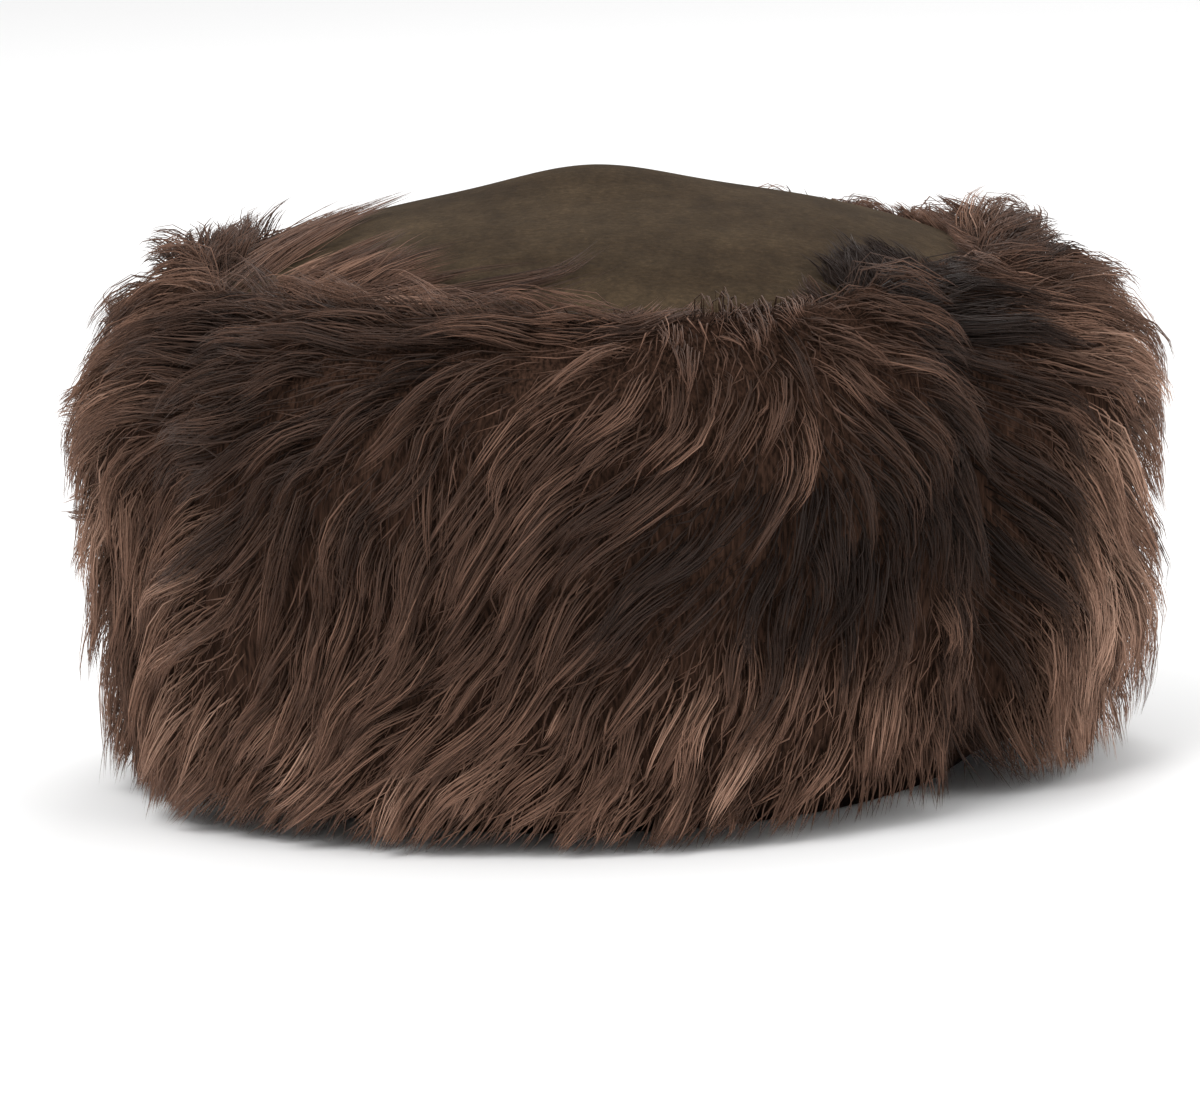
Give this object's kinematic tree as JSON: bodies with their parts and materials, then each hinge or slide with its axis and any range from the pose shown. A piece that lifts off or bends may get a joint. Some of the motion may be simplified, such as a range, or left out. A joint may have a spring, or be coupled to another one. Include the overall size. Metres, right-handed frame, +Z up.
{
  "type": "sheepskin cossack hat",
  "caption": "Soft cossack hat: a domed suede crown tip inside a deep ring of long-wool sheepskin, open below for the head.",
  "frame": {"origin": "middle of the hat on the surface that its hem rests on", "axes": "+Z up through the crown, -Y to the front of the hat, +X to the right of a viewer in front"},
  "size_m": [0.2947, 0.3075, 0.1574],
  "materials": {
    "suede": "matt brown suede with a short nap",
    "fur": "long dark brown sheepskin wool with a soft sheen"
  },
  "bodies": {
    "root": {"crown_tip": "suede", "front_fur_panel": "fur", "back_fur_panel": "fur"}
  },
  "joints": []
}
